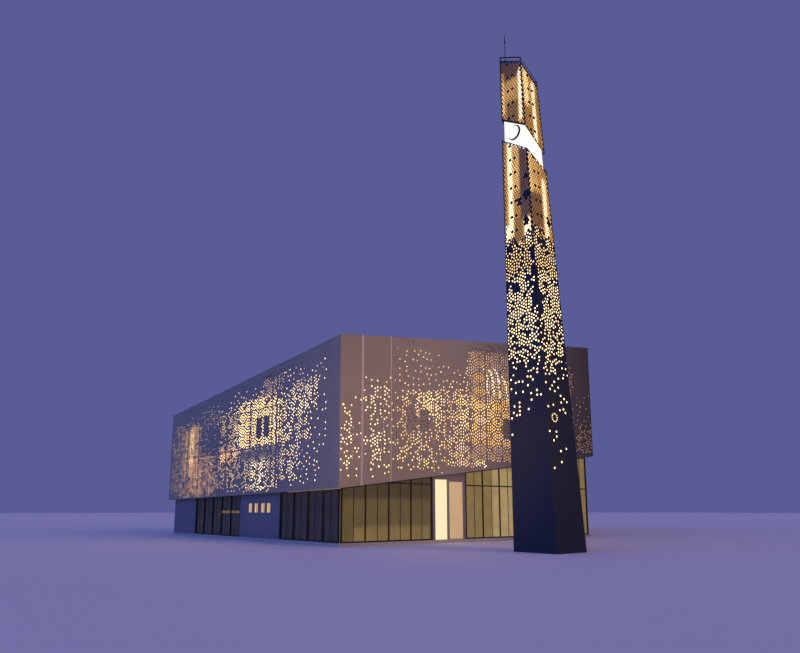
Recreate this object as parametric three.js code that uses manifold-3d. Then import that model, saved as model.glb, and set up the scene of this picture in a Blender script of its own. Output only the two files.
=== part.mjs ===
// A mosque: a hall wrapped in a perforated metal skin, and its free-standing minaret, at 1:2.
// The ground is at z = 0. The entrance front faces -Y, the long left side faces -X.
import * as THREE from 'three';
import { ConvexGeometry } from 'three/addons/geometries/ConvexGeometry.js';
import { mergeVertices } from 'three/addons/utils/BufferGeometryUtils.js';
import Module from 'manifold-3d';

const wasm = await Module();
wasm.setup();

// One metre of the real building is 500 mm of the model.
const m = 500;
const gap = 0.3;

// The hall's skin: its plan, and the heights of its two slanting edges at the near left corner,
// with how much they rise along the front and along the left side.
const hall = { width: 35.2 * m, depth: 39.1 * m };
const skin = {
  thickness: 0.05 * m,
  top: { near: 18.0 * m, alongFront: 4.13 * m, alongLeft: -2.86 * m },
  bottom: { near: 4.8 * m, alongFront: 4.37 * m, alongLeft: -0.53 * m },
};

// Distances inward from the skin's outer face.
const inward = { slab: 0.5 * m, wall: 0.6 * m, frameBack: 0.75 * m, glassBack: 0.78 * m, room: 0.9 * m };

// Levels of the floors, underside first.
const floors = {
  ground: [0, 0.3 * m],
  upper: [5.35 * m, 6.2 * m],
  gallery: [9.0 * m, 9.35 * m],
};
// The roof lies parallel to the skin's top edge, this far below it.
const roof = { underside: 1.5 * m, top: 1.1 * m };
const galleryWidth = 9 * m;
const column = { radius: 0.35 * m, sides: 12, fromMiddle: [8 * m, 9 * m] };

const soffit = { rise: 0.02 * m, thickness: 0.12 * m };
const mullion = { width: 0.07 * m, spacing: 2.4 * m, endWidth: 0.12 * m };
const transom = { height: 0.12 * m, levels: [5.35 * m] };
const post = { width: 0.08 * m, depth: 0.12 * m, spacing: 3 * m };
const rail = { height: 0.1 * m, setBack: 0.06 * m, depth: 0.12 * m, middleShare: 0.7 };
const bracket = { every: 2, inset: 0.02 * m };

// The ground storey along each side, as stretches from one end: [start, end].
const portal = { stretch: [10.9 * m, 15.1 * m], opening: [11.2 * m, 12.9 * m], head: 5.9 * m };
const stretches = {
  frontNear: [0.7 * m, 10.85 * m],
  frontFar: [15.15 * m, 34.5 * m],
  leftNear: [0.91 * m, 11.0 * m],
  leftWall: [11.05 * m, 19.55 * m],
  leftFar: [19.6 * m, 31.5 * m],
  leftEndWall: [31.55 * m, 38.19 * m],
  right: [0.91 * m, 38.19 * m],
  back: [0.7 * m, 34.5 * m],
};
const smallWindow = { starts: [12.95, 14.16, 15.6, 16.9], width: 0.82 * m, sill: 2.8 * m, head: 3.7 * m };

// Windows of the upper walls, by the place of their left edge along each side.
const upperWindow = { width: 1.2 * m, sill: 10.2 * m, head: 12.3 * m };
const upperWindows = {
  front: [8.7, 10.2, 21.5, 23.0],
  left: [13.4, 15.0, 25.0, 26.6],
  right: [9.0, 10.6, 25.0, 26.6],
  back: [8.7, 10.2, 21.5, 23.0],
};

// The minaret: its back left corner is vertical, and its front and right faces lean inward.
const minaret = {
  corner: [-10.35 * m, -32.07 * m],
  depth: 3.945 * m,
  depthTaper: 0.04315,
  width: 3.426 * m,
  widthTaper: 0.03898,
  skin: 0.05 * m,
  baseHeight: 0.4 * m,
};

// Slanting cuts through the minaret: the height at its back left corner, and how steeply each
// one falls to the right and to the front.
const cuts = {
  ground: { z: 0, right: 0, front: 0 },
  bandBottom: { z: 33.02 * m, right: 0.57, front: 0.69 },
  bandTop: { z: 34.8 * m, right: 0.798, front: 0.634 },
  top: { z: 40.31 * m, right: 0.76, front: 0.5485 },
};
const corePost = { inset: 0.25 * m, size: 0.16 * m };
const ring = { height: 0.12 * m, first: 3.5 * m, spacing: 3.5 * m, count: 8 };
const band = { inset: 0.17 * m, thickness: 0.06 * m, lap: 0.15 * m };
const deck = { below: 1.3 * m, thickness: 0.1 * m };
const topRail = { size: 0.05 * m, rise: 0.36 * m };
// The mast's outline from its foot up: radius and height.
const mast = {
  outline: [
    [0.08, 0], [0.08, 0.25], [0.15, 0.29], [0.05, 0.6], [0.03, 0.65],
    [0.03, 2.23], [0.07, 2.33], [0.05, 2.48], [0.01, 3.1],
  ],
  sunk: 0.1 * m,
  sides: 12,
};
// The crescent opens upwards to the left: its horns stand at hornAngle to each side of that way.
const crescent = {
  fromCorner: 1.24 * m,
  z: 33.2 * m,
  radius: 0.62 * m,
  innerRadius: 0.533 * m,
  hornAngle: 0.72,
  opening: Math.PI * 0.8,
  thickness: 0.04 * m,
};

const finish = {
  concrete: { color: 0xb9b4aa, roughness: 0.8, metalness: 0 },
  wall: { color: 0xd9cdb4, roughness: 0.75, metalness: 0 },
  skin: { color: 0xb7b4bb, roughness: 0.42, metalness: 0.6 },
  frame: { color: 0x2f2d30, roughness: 0.5, metalness: 0.7 },
  glass: { color: 0x39434d, roughness: 0.1, metalness: 0 },
  stone: { color: 0xcfc4ac, roughness: 0.6, metalness: 0 },
  light: { color: 0xfff6e2, roughness: 0.4, metalness: 0 },
  bronze: { color: 0x6b4c22, roughness: 0.35, metalness: 0.9 },
};

const mosque = new THREE.Group();

function addPiece(name, body, finishName) {
  const mesh = new THREE.Mesh(geometryOf(body), new THREE.MeshStandardMaterial(finish[finishName]));
  mesh.name = name;
  mosque.add(mesh);
}

// Solids
function solid(geometry) {
  geometry.deleteAttribute('normal');
  geometry.deleteAttribute('uv');
  const merged = mergeVertices(geometry);
  const vertProperties = merged.attributes.position.array;
  const triVerts = new Uint32Array(merged.index.array);
  return new wasm.Manifold(new wasm.Mesh({ numProp: 3, vertProperties, triVerts }));
}

function geometryOf(body) {
  const { vertProperties, triVerts } = body.getMesh();
  const geometry = new THREE.BufferGeometry();
  geometry.setAttribute('position', new THREE.BufferAttribute(vertProperties, 3));
  geometry.setIndex(new THREE.BufferAttribute(triVerts, 1));
  geometry.computeVertexNormals();
  return geometry;
}

function join(bodies) {
  return bodies.reduce((whole, body) => whole.add(body));
}

function box([x0, x1], [y0, y1], [z0, z1]) {
  const geometry = new THREE.BoxGeometry(x1 - x0, y1 - y0, z1 - z0);
  return solid(geometry.translate((x0 + x1) / 2, (y0 + y1) / 2, (z0 + z1) / 2));
}

function shrunk([start, end], by) {
  return [start + by, end - by];
}

// Surfaces give a height for each place in plan.
function level(z) {
  return () => z;
}

function raised(surface, rise) {
  return (x, y) => surface(x, y) + rise;
}

function skinEdge({ near, alongFront, alongLeft }) {
  return (x, y) => near + alongFront * (x / hall.width + 0.5) + alongLeft * (y / hall.depth + 0.5);
}

const skinTop = skinEdge(skin.top);
const skinBottom = skinEdge(skin.bottom);

// A side's own coordinates are the distance along it and the distance inward from its skin.
const sides = {
  front: { length: hall.width, place: (u, d) => [u - hall.width / 2, d - hall.depth / 2] },
  back: { length: hall.width, place: (u, d) => [u - hall.width / 2, hall.depth / 2 - d] },
  left: { length: hall.depth, place: (u, d) => [d - hall.width / 2, u - hall.depth / 2] },
  right: { length: hall.depth, place: (u, d) => [hall.width / 2 - d, u - hall.depth / 2] },
};
const sideNames = Object.keys(sides);

function sideBlock(side, along, into, low, high) {
  const points = [];
  for (const u of along) {
    for (const d of into) {
      const [x, y] = sides[side].place(u, d);
      points.push(new THREE.Vector3(x, y, low(x, y)), new THREE.Vector3(x, y, high(x, y)));
    }
  }
  return solid(new ConvexGeometry(points));
}

// Left and right pieces run the full length of their sides, and front and back ones fit between.
function fullOrBetween(side, depth) {
  const short = side === 'front' || side === 'back' ? depth + gap : 0;
  return [short, sides[side].length - short];
}

// Floors
function floorPlate([z0, z1], edge) {
  const halfWidth = hall.width / 2 - edge;
  const halfDepth = hall.depth / 2 - edge;
  return box([-halfWidth, halfWidth], [-halfDepth, halfDepth], [z0, z1]);
}

function columnAt(x, y, [z0, z1]) {
  const geometry = new THREE.CylinderGeometry(column.radius, column.radius, z1 - z0, column.sides);
  return solid(geometry.rotateX(Math.PI / 2).translate(x, y, (z0 + z1) / 2));
}

function addFloors() {
  addPiece('ground_slab', floorPlate(floors.ground, inward.slab), 'concrete');
  const upper = [floorPlate(floors.upper, inward.room + gap)];
  const [columnX, columnY] = column.fromMiddle;
  for (const x of [-columnX, columnX]) {
    for (const y of [-columnY, columnY]) {
      upper.push(columnAt(x, y, [floors.ground[1] + gap, floors.upper[0] + gap]));
    }
  }
  addPiece('upper_floor', join(upper), 'concrete');
  const wallInside = inward.room + gap - hall.width / 2;
  const galleryDepth = hall.depth / 2 - inward.room - gap;
  addPiece('gallery_floor', box([wallInside, wallInside + galleryWidth],
    [-galleryDepth, galleryDepth], floors.gallery), 'concrete');
  addPiece('roof_slab', sideBlock('left', shrunk([0, hall.depth], inward.wall),
    [inward.wall, hall.width - inward.wall], raised(skinTop, -roof.underside), raised(skinTop, -roof.top)),
  'concrete');
}

// Upper walls stand on the soffit and carry the roof.
function addUpperWalls() {
  const foot = raised(skinBottom, soffit.rise + soffit.thickness + gap);
  for (const side of sideNames) {
    const into = [inward.wall, inward.room];
    const [start, end] = fullOrBetween(side, inward.room);
    const ends = side === 'front' || side === 'back' ? [start, end] : shrunk([start, end], inward.wall);
    let wall = sideBlock(side, ends, into, foot, raised(skinTop, -roof.underside - gap));
    for (const metres of upperWindows[side]) {
      const across = [metres * m, metres * m + upperWindow.width];
      const through = [into[0] - gap, into[1] + gap];
      const { sill, head } = upperWindow;
      wall = wall.subtract(sideBlock(side, across, through, level(sill), level(head)));
    }
    addPiece(`upper_wall_${side}`, wall, 'wall');
  }
}

// The soffit closes the space under the skin, from its foot to the wall's inner face.
function addSoffits() {
  for (const side of sideNames) {
    const edge = skin.thickness + gap;
    const into = [edge, inward.room];
    const [start, end] = fullOrBetween(side, inward.room);
    const ends = side === 'front' || side === 'back' ? [start, end] : shrunk([start, end], edge);
    const low = raised(skinBottom, soffit.rise);
    const high = raised(skinBottom, soffit.rise + soffit.thickness);
    addPiece(`soffit_${side}`, sideBlock(side, ends, into, low, high), 'frame');
  }
}

// Ground storey
const storeyFoot = level(floors.ground[1] + gap);
const storeyHead = raised(skinBottom, soffit.rise - gap);

function glazingFrame(side, stretch) {
  const into = [inward.wall, inward.frameBack];
  const [start, end] = stretch;
  const zone = sideBlock(side, stretch, into, storeyFoot, storeyHead);
  const above = raised(storeyHead, m);
  const bars = [
    sideBlock(side, [start, start + mullion.endWidth], into, storeyFoot, above),
    sideBlock(side, [end - mullion.endWidth, end], into, storeyFoot, above),
    sideBlock(side, stretch, into, storeyFoot, raised(storeyFoot, transom.height)),
    sideBlock(side, stretch, into, raised(storeyHead, -transom.height), storeyHead),
  ];
  const bays = Math.round((end - start) / mullion.spacing);
  for (let bay = 1; bay < bays; bay += 1) {
    const middle = start + (end - start) * bay / bays;
    const across = [middle - mullion.width / 2, middle + mullion.width / 2];
    bars.push(sideBlock(side, across, into, storeyFoot, above));
  }
  for (const z of transom.levels) {
    bars.push(sideBlock(side, stretch, into, level(z), level(z + transom.height)));
  }
  return join(bars).intersect(zone);
}

function glassSheet(side, stretch) {
  return sideBlock(side, stretch, [inward.frameBack + gap, inward.glassBack], storeyFoot, storeyHead);
}

function addGlazing(name, side, stretch) {
  addPiece(`glazing_frame_${name}`, glazingFrame(side, stretch), 'frame');
  addPiece(`glass_${name}`, glassSheet(side, stretch), 'glass');
}

function groundWall(side, stretch) {
  return sideBlock(side, stretch, [inward.wall, inward.room], storeyFoot, storeyHead);
}

function addPortal() {
  const into = [inward.wall, inward.room];
  const doorway = sideBlock('front', portal.opening, [0, inward.room + m],
    level(floors.ground[0]), level(portal.head));
  addPiece('entrance_portal', sideBlock('front', portal.stretch, into, storeyFoot, storeyHead)
    .subtract(doorway), 'stone');
}

function addGroundStorey() {
  addGlazing('front_near', 'front', stretches.frontNear);
  addPortal();
  addGlazing('front_far', 'front', stretches.frontFar);
  addGlazing('left_near', 'left', stretches.leftNear);
  let wall = groundWall('left', stretches.leftWall);
  for (const metres of smallWindow.starts) {
    wall = wall.subtract(sideBlock('left', [metres * m, metres * m + smallWindow.width],
      [0, inward.room + m], level(smallWindow.sill), level(smallWindow.head)));
  }
  addPiece('ground_wall_left', wall, 'stone');
  addGlazing('left_far', 'left', stretches.leftFar);
  addPiece('ground_wall_left_end', groundWall('left', stretches.leftEndWall), 'stone');
  addGlazing('right', 'right', stretches.right);
  addGlazing('back', 'back', stretches.back);
}

// The hall's skin, and the posts, rails and brackets that carry it.
function skinFrame(side) {
  const length = sides[side].length;
  const margin = post.spacing / 2;
  const postInto = [skin.thickness + gap, skin.thickness + gap + post.depth];
  const railInto = [postInto[0] + rail.setBack, postInto[0] + rail.setBack + rail.depth];
  const foot = raised(skinBottom, soffit.rise + soffit.thickness + gap);
  const head = raised(skinTop, -rail.height);
  const ends = [margin - post.width / 2, length - margin + post.width / 2];
  const middle = (x, y) => foot(x, y) + (head(x, y) - foot(x, y)) * rail.middleShare;
  const bars = [foot, middle, raised(head, -rail.height)].map(
    (low) => sideBlock(side, ends, railInto, low, raised(low, rail.height)));
  const bays = Math.round((length - 2 * margin) / post.spacing);
  for (let bay = 0; bay <= bays; bay += 1) {
    const centre = margin + (length - 2 * margin) * bay / bays;
    const across = [centre - post.width / 2, centre + post.width / 2];
    bars.push(sideBlock(side, across, postInto, foot, head));
    if (bay % bracket.every === 0) {
      const reach = [railInto[0] + bracket.inset, inward.wall - gap];
      bars.push(sideBlock(side, shrunk(across, bracket.inset), reach,
        raised(middle, bracket.inset), raised(middle, rail.height - bracket.inset)));
    }
  }
  return join(bars);
}

function addSkin() {
  for (const side of sideNames) {
    const ends = fullOrBetween(side, skin.thickness);
    addPiece(`skin_${side}`, sideBlock(side, ends, [0, skin.thickness], skinBottom, skinTop), 'skin');
    addPiece(`skin_frame_${side}`, skinFrame(side), 'frame');
  }
}

// The minaret's own coordinates: x to the right and y to the front of its vertical corner.
// A face is near that corner or far from it, and an inset moves it into the tower.
function near(inset) {
  return { isFar: 0, inset };
}

function far(inset) {
  return { isFar: 1, inset };
}

function towerPoint(xFace, yFace, cut) {
  const x0 = xFace.isFar ? minaret.width - xFace.inset : xFace.inset;
  const y0 = yFace.isFar ? minaret.depth - yFace.inset : yFace.inset;
  const xLean = xFace.isFar * minaret.widthTaper;
  const yLean = yFace.isFar * minaret.depthTaper;
  const z = (cut.z - cut.right * x0 - cut.front * y0) / (1 - cut.right * xLean - cut.front * yLean);
  const [cornerX, cornerY] = minaret.corner;
  return new THREE.Vector3(cornerX + x0 - xLean * z, cornerY - y0 + yLean * z, z);
}

function towerBlock(xFaces, yFaces, low, high) {
  const points = [];
  for (const x of xFaces) {
    for (const y of yFaces) {
      points.push(towerPoint(x, y, low), towerPoint(x, y, high));
    }
  }
  return solid(new ConvexGeometry(points));
}

function lifted(cut, rise) {
  return { ...cut, z: cut.z + rise };
}

function levelCut(z) {
  return { z, right: 0, front: 0 };
}

function towerRing(outer, inner, low, high) {
  const outside = [near(outer), far(outer)];
  const inside = [near(inner), far(inner)];
  const hole = towerBlock(inside, inside, lifted(low, -m), lifted(high, m));
  return towerBlock(outside, outside, low, high).subtract(hole);
}

function addTowerSkin(name, low, high) {
  const t = minaret.skin;
  const whole = [near(0), far(0)];
  const between = [near(t + gap), far(t + gap)];
  addPiece(`minaret_${name}_left`, towerBlock([near(0), near(t)], whole, low, high), 'skin');
  addPiece(`minaret_${name}_right`, towerBlock([far(t), far(0)], whole, low, high), 'skin');
  addPiece(`minaret_${name}_front`, towerBlock(between, [far(t), far(0)], low, high), 'skin');
  addPiece(`minaret_${name}_back`, towerBlock(between, [near(0), near(t)], low, high), 'skin');
}

function towerFrame() {
  const inside = minaret.skin + gap;
  const { inset, size } = corePost;
  const foot = levelCut(minaret.baseHeight + gap);
  const head = lifted(cuts.top, -ring.height);
  const bars = [];
  for (const x of [near, far]) {
    for (const y of [near, far]) {
      bars.push(towerBlock([x(inset), x(inset + size)], [y(inset), y(inset + size)], foot, head));
    }
  }
  for (let index = 0; index < ring.count; index += 1) {
    const z = ring.first + index * ring.spacing;
    bars.push(towerRing(inside, inset + size / 2, levelCut(z), levelCut(z + ring.height)));
  }
  const slanting = [
    lifted(cuts.bandBottom, -band.lap - gap - ring.height),
    lifted(cuts.bandTop, band.lap + gap),
    lifted(head, -ring.height),
  ];
  for (const cut of slanting) {
    bars.push(towerRing(inside, inset + size / 2, cut, lifted(cut, ring.height)));
  }
  return join(bars);
}

function crescentBody() {
  const outer = new THREE.Shape();
  const { radius, innerRadius, hornAngle, opening } = crescent;
  outer.absarc(0, 0, radius, opening + hornAngle, opening + 2 * Math.PI - hornAngle, false);
  const reach = radius * Math.cos(hornAngle);
  const half = radius * Math.sin(hornAngle);
  const innerCentre = reach - Math.sqrt(innerRadius ** 2 - half ** 2);
  const innerHorn = Math.atan2(half, reach - innerCentre);
  outer.absarc(innerCentre * Math.cos(opening), innerCentre * Math.sin(opening), innerRadius,
    opening - innerHorn, opening + innerHorn - 2 * Math.PI, true);
  const geometry = new THREE.ExtrudeGeometry(outer,
    { depth: crescent.thickness, bevelEnabled: false, curveSegments: 20 });
  const [cornerX, cornerY] = minaret.corner;
  geometry.applyMatrix4(new THREE.Matrix4().makeBasis(
    new THREE.Vector3(0, -1, 0), new THREE.Vector3(0, 0, 1), new THREE.Vector3(-1, 0, 0)));
  return solid(geometry.translate(cornerX + band.inset - gap, cornerY - crescent.fromCorner, crescent.z));
}

function mastBody() {
  const tip = mast.outline.at(-1)[1];
  const profile = [[0, 0], ...mast.outline, [0, tip]].map(([r, z]) => new THREE.Vector2(r * m, z * m));
  const fromCorner = corePost.inset + corePost.size / 2;
  const head = lifted(cuts.top, -ring.height);
  const seat = towerPoint(near(fromCorner), near(fromCorner), head);
  const [cornerX, cornerY] = minaret.corner;
  const whole = solid(new THREE.LatheGeometry(profile, mast.sides).rotateX(Math.PI / 2)
    .translate(cornerX + fromCorner, cornerY - fromCorner, seat.z - mast.sunk));
  const faces = [near(0), far(0)];
  return whole.subtract(towerBlock(faces, faces, lifted(head, -m), lifted(head, gap)));
}

function topRailBody() {
  const { size, rise } = topRail;
  const low = lifted(cuts.top, rise - size);
  const bars = [towerRing(0, size, low, lifted(cuts.top, rise))];
  for (const x of [near, far]) {
    for (const y of [near, far]) {
      bars.push(towerBlock([x(0), x(size)], [y(0), y(size)], lifted(cuts.top, gap), lifted(low, size / 2)));
    }
  }
  return join(bars);
}

function addMinaret() {
  const inside = minaret.skin + gap;
  const within = [near(inside), far(inside)];
  addPiece('minaret_base', towerBlock(within, within, cuts.ground, levelCut(minaret.baseHeight)), 'concrete');
  addTowerSkin('lower', cuts.ground, cuts.bandBottom);
  addTowerSkin('upper', cuts.bandTop, cuts.top);
  addPiece('minaret_frame', towerFrame(), 'frame');
  addPiece('light_band', towerRing(band.inset, band.inset + band.thickness,
    lifted(cuts.bandBottom, -band.lap), lifted(cuts.bandTop, band.lap)), 'light');
  addPiece('crescent', crescentBody(), 'bronze');
  const deckFoot = lifted(cuts.top, -deck.below);
  const clear = corePost.inset + corePost.size + gap;
  addPiece('minaret_deck', towerBlock([near(clear), far(clear)], [near(clear), far(clear)], deckFoot,
    lifted(deckFoot, deck.thickness)), 'frame');
  addPiece('minaret_top_rail', topRailBody(), 'frame');
  addPiece('mast', mastBody(), 'frame');
}

addFloors();
addUpperWalls();
addSoffits();
addGroundStorey();
addSkin();
addMinaret();

export default mosque;
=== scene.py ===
# A mosque in a perforated metal skin, with its separate tapered minaret, modelled at 1:2.
# x runs along the entrance front, y away from it, z up from the ground.
import math
import random

import bmesh
import bpy
from mathutils import Matrix, Vector, noise


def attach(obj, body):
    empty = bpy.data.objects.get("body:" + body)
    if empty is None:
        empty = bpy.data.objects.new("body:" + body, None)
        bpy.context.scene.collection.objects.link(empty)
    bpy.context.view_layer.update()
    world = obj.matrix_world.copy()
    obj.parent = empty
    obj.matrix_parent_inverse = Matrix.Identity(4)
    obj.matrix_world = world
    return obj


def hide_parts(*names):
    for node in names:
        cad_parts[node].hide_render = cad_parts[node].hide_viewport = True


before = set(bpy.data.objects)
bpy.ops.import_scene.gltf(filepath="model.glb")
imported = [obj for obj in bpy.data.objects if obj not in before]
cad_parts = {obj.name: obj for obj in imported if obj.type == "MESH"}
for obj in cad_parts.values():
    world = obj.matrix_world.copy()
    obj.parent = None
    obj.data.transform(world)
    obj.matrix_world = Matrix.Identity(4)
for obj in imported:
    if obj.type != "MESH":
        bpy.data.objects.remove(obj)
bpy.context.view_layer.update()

m = 0.5    # a metre of the real building, in metres of the model
gap = 0.0003


# Sockets and node graphs
class Wire:
    def __init__(self, graph, socket):
        self.graph, self.socket = graph, socket

    def math(self, operation, *other):
        return self.graph.node("ShaderNodeMath", {"operation": operation}, dict(enumerate([self, *other])))

    def __add__(self, other):
        return self.math("ADD", other)

    def __sub__(self, other):
        return self.math("SUBTRACT", other)

    def __mul__(self, other):
        return self.math("MULTIPLY", other)

    def __truediv__(self, other):
        return self.math("DIVIDE", other)

    __radd__, __rmul__ = __add__, __mul__

    def floor(self):
        return self.math("FLOOR")

    def fraction(self):
        return self.math("FRACT")

    def size(self):
        return self.math("ABSOLUTE")

    def clamp(self):
        return self.graph.node("ShaderNodeClamp", {}, {"Value": self})


class Graph:
    def __init__(self, tree):
        self.tree = tree

    def feed(self, socket, value):
        if isinstance(value, Wire):
            self.tree.links.new(value.socket, socket)
        else:
            socket.default_value = value

    def node(self, kind, settings=None, inputs=None, output=0):
        made = self.tree.nodes.new(kind)
        for key, value in (settings or {}).items():
            setattr(made, key, value)
        for key, value in (inputs or {}).items():
            self.feed(made.inputs[key], value)
        return Wire(self, made.outputs[output])

    def join(self, *wires):
        made = self.tree.nodes.new("GeometryNodeJoinGeometry")
        for wire in wires:
            self.tree.links.new(wire.socket, made.inputs[0])
        return Wire(self, made.outputs[0])


# Materials
class Finish(Graph):
    def __init__(self, name):
        self.material = bpy.data.materials.new(name)
        self.material.use_nodes = True
        super().__init__(self.material.node_tree)
        self.shader = self.tree.nodes["Principled BSDF"]
        self.place = self.node("ShaderNodeTexCoord", output=3)

    def set(self, key, value):
        self.feed(self.shader.inputs[key], value)

    def axis(self, index):
        return self.node("ShaderNodeSeparateXYZ", {}, {"Vector": self.place}, index)

    def noise(self, scale, detail=4, roughness=0.55, stretch=(1, 1, 1)):
        place = self.node("ShaderNodeMapping", {}, {"Vector": self.place, "Scale": stretch})
        return self.node("ShaderNodeTexNoise", {},
                         {"Vector": place, "Scale": scale, "Detail": detail, "Roughness": roughness})

    def mix(self, share, first, second, blend="MIX"):
        return self.node("ShaderNodeMix", {"data_type": "RGBA", "blend_type": blend},
                         {0: share, 6: first, 7: second}, 2)

    def bump(self, height, strength, distance):
        self.set("Normal", self.node("ShaderNodeBump", {},
                 {"Height": height, "Strength": strength, "Distance": distance}))

    # 1 at the joints of panels of this size along one axis, fading to 0 over the joint's width.
    def joints(self, along, pitch, width, shift=0.0):
        fromMiddle = ((along - shift) / pitch).fraction() - 0.5
        return ((fromMiddle.size() - 0.5) * (pitch / width) + 1.0).clamp()


def rgb(red, green, blue):
    return (red, green, blue, 1.0)


skinLook = {
    "panelWidth": 1.5 * m, "panelHeight": 3.2 * m, "jointWidth": 0.012 * m,
    # The skin's colour darkens towards its far end along x: painted shade standing in for the light falling
    # off along the front.
    "fade": (-1.1, 0.08),    # where the metal starts to darken along x, and how fast
    "hall": {"tones": [rgb(0.285, 0.25, 0.20), rgb(0.35, 0.31, 0.25)], "metallic": 0.45, "specular": 0.5,
             "roughness": 0.42},
    # The minaret's skin is a shaded copy of the hall's metal: its dark tones are painted shade for the
    # minaret standing out of the warm light.
    "minaret": {"tones": [rgb(0.024, 0.028, 0.040), rgb(0.034, 0.039, 0.054)], "metallic": 0.0,
                "specular": 0.08, "roughness": 0.62},
}


def skinMetal(name, kind, alongAxis):
    look = Finish(name)
    along, height = look.axis(alongAxis), look.axis(2)
    column = (along / skinLook["panelWidth"]).floor()
    row = (height / skinLook["panelHeight"]).floor()
    chance = look.node("ShaderNodeTexWhiteNoise", {"noise_dimensions": "2D"},
                       {"Vector": look.node("ShaderNodeCombineXYZ", {}, {0: column, 1: row})})
    cloud = look.noise(0.35, 3)
    tone = (0.25 * chance + 0.75 * cloud).clamp()
    seam = look.joints(along, skinLook["panelWidth"], skinLook["jointWidth"])
    ledge = look.joints(height, skinLook["panelHeight"], skinLook["jointWidth"])
    groove = (seam + ledge).clamp()
    fine = look.noise(90.0, 2)
    # Painted shade: past the start along x the metal's colour darkens, standing in for the light falling off
    # towards the far end.
    start, loss = skinLook["fade"]
    paintedFalloffShade = ((look.axis(0) - start) * loss).clamp()
    colour = look.mix(paintedFalloffShade, look.mix(tone, *kind["tones"]), rgb(0.02, 0.015, 0.01))
    look.set("Base Color", look.mix(groove * 0.35, colour, rgb(0.03, 0.03, 0.04)))
    look.set("Metallic", kind["metallic"])
    look.set("Specular IOR Level", kind["specular"])
    look.set("Roughness", kind["roughness"] + 0.12 * cloud + 0.1 * fine)
    look.bump(fine * 0.1 - groove, 0.5, 0.004)
    return look.material


def paintedSteel(name, colour, metallic=0.6):
    look = Finish(name)
    wear = look.noise(4.0)
    look.set("Base Color", look.mix(wear, colour, rgb(*(0.6 * part + 0.01 for part in colour[:3]))))
    look.set("Metallic", metallic)
    look.set("Roughness", 0.38 + 0.2 * wear)
    look.bump(look.noise(60.0, 2), 0.15, 0.002)
    return look.material


def cast(name, light, dark, scale=1.2, grain=40.0):
    look = Finish(name)
    look.set("Base Color", look.mix(look.noise(scale, 6), dark, light))
    look.set("Roughness", 0.7 + 0.2 * look.noise(grain, 3))
    look.bump(look.noise(grain, 5), 0.25, 0.006)
    return look.material


# Roof sheets with raised seams along the left side's direction
def membrane(name, light, dark, seam):
    look = Finish(name)
    pitch, width = seam
    seams = look.joints(look.axis(0), pitch, width)
    stain = look.noise(0.7, 6, 0.6)
    look.set("Base Color", look.mix(seams * 0.35, look.mix(stain, dark, light), rgb(0.12, 0.12, 0.14)))
    look.set("Roughness", 0.75 + 0.15 * look.noise(30.0, 3))
    look.bump(seams + 0.1 * look.noise(60.0, 5), 0.4, 0.006)
    return look.material


def glowing(name, strength, base):
    look = Finish(name)
    stored = look.node("ShaderNodeAttribute", {"attribute_name": "glow"}, output=0)
    flicker = look.noise(1.6, 5, 0.6)
    grain = look.noise(5.0, 2)
    look.set("Base Color", base)
    look.set("Roughness", 0.6)
    look.set("Emission Color", look.mix(1.0, stored, look.node("ShaderNodeCombineColor", {}, {
        0: 0.6 + 0.8 * flicker, 1: 0.5 + 0.8 * flicker + 0.1 * grain, 2: 0.4 + 0.8 * flicker + 0.1 * grain}),
        "MULTIPLY"))
    look.set("Emission Strength", strength)
    return look.material


def lamp(name, colour, strength, ripple=0.1):
    look = Finish(name)
    vary = look.noise(3.0)
    look.set("Base Color", rgb(0.25, 0.24, 0.2))
    look.set("Roughness", 0.35)
    dim = rgb(*(part * (1 - ripple) for part in colour[:3]))
    look.set("Emission Color", look.mix(vary, dim, colour))
    look.set("Emission Strength", strength)
    return look.material


def glazing(name, tint, clear):
    look = Finish(name)
    streak = look.noise(0.6, 3, 0.5, (1, 1, 0.3))
    look.set("Base Color", look.mix(streak, tint, rgb(*(0.5 * part for part in tint[:3]))))
    look.set("Roughness", 0.04 + 0.08 * streak)
    look.set("Alpha", 1.0 - clear)
    look.set("Specular IOR Level", 0.7)
    look.bump(look.noise(0.8, 2), 0.03, 0.02)
    return look.material


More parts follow.
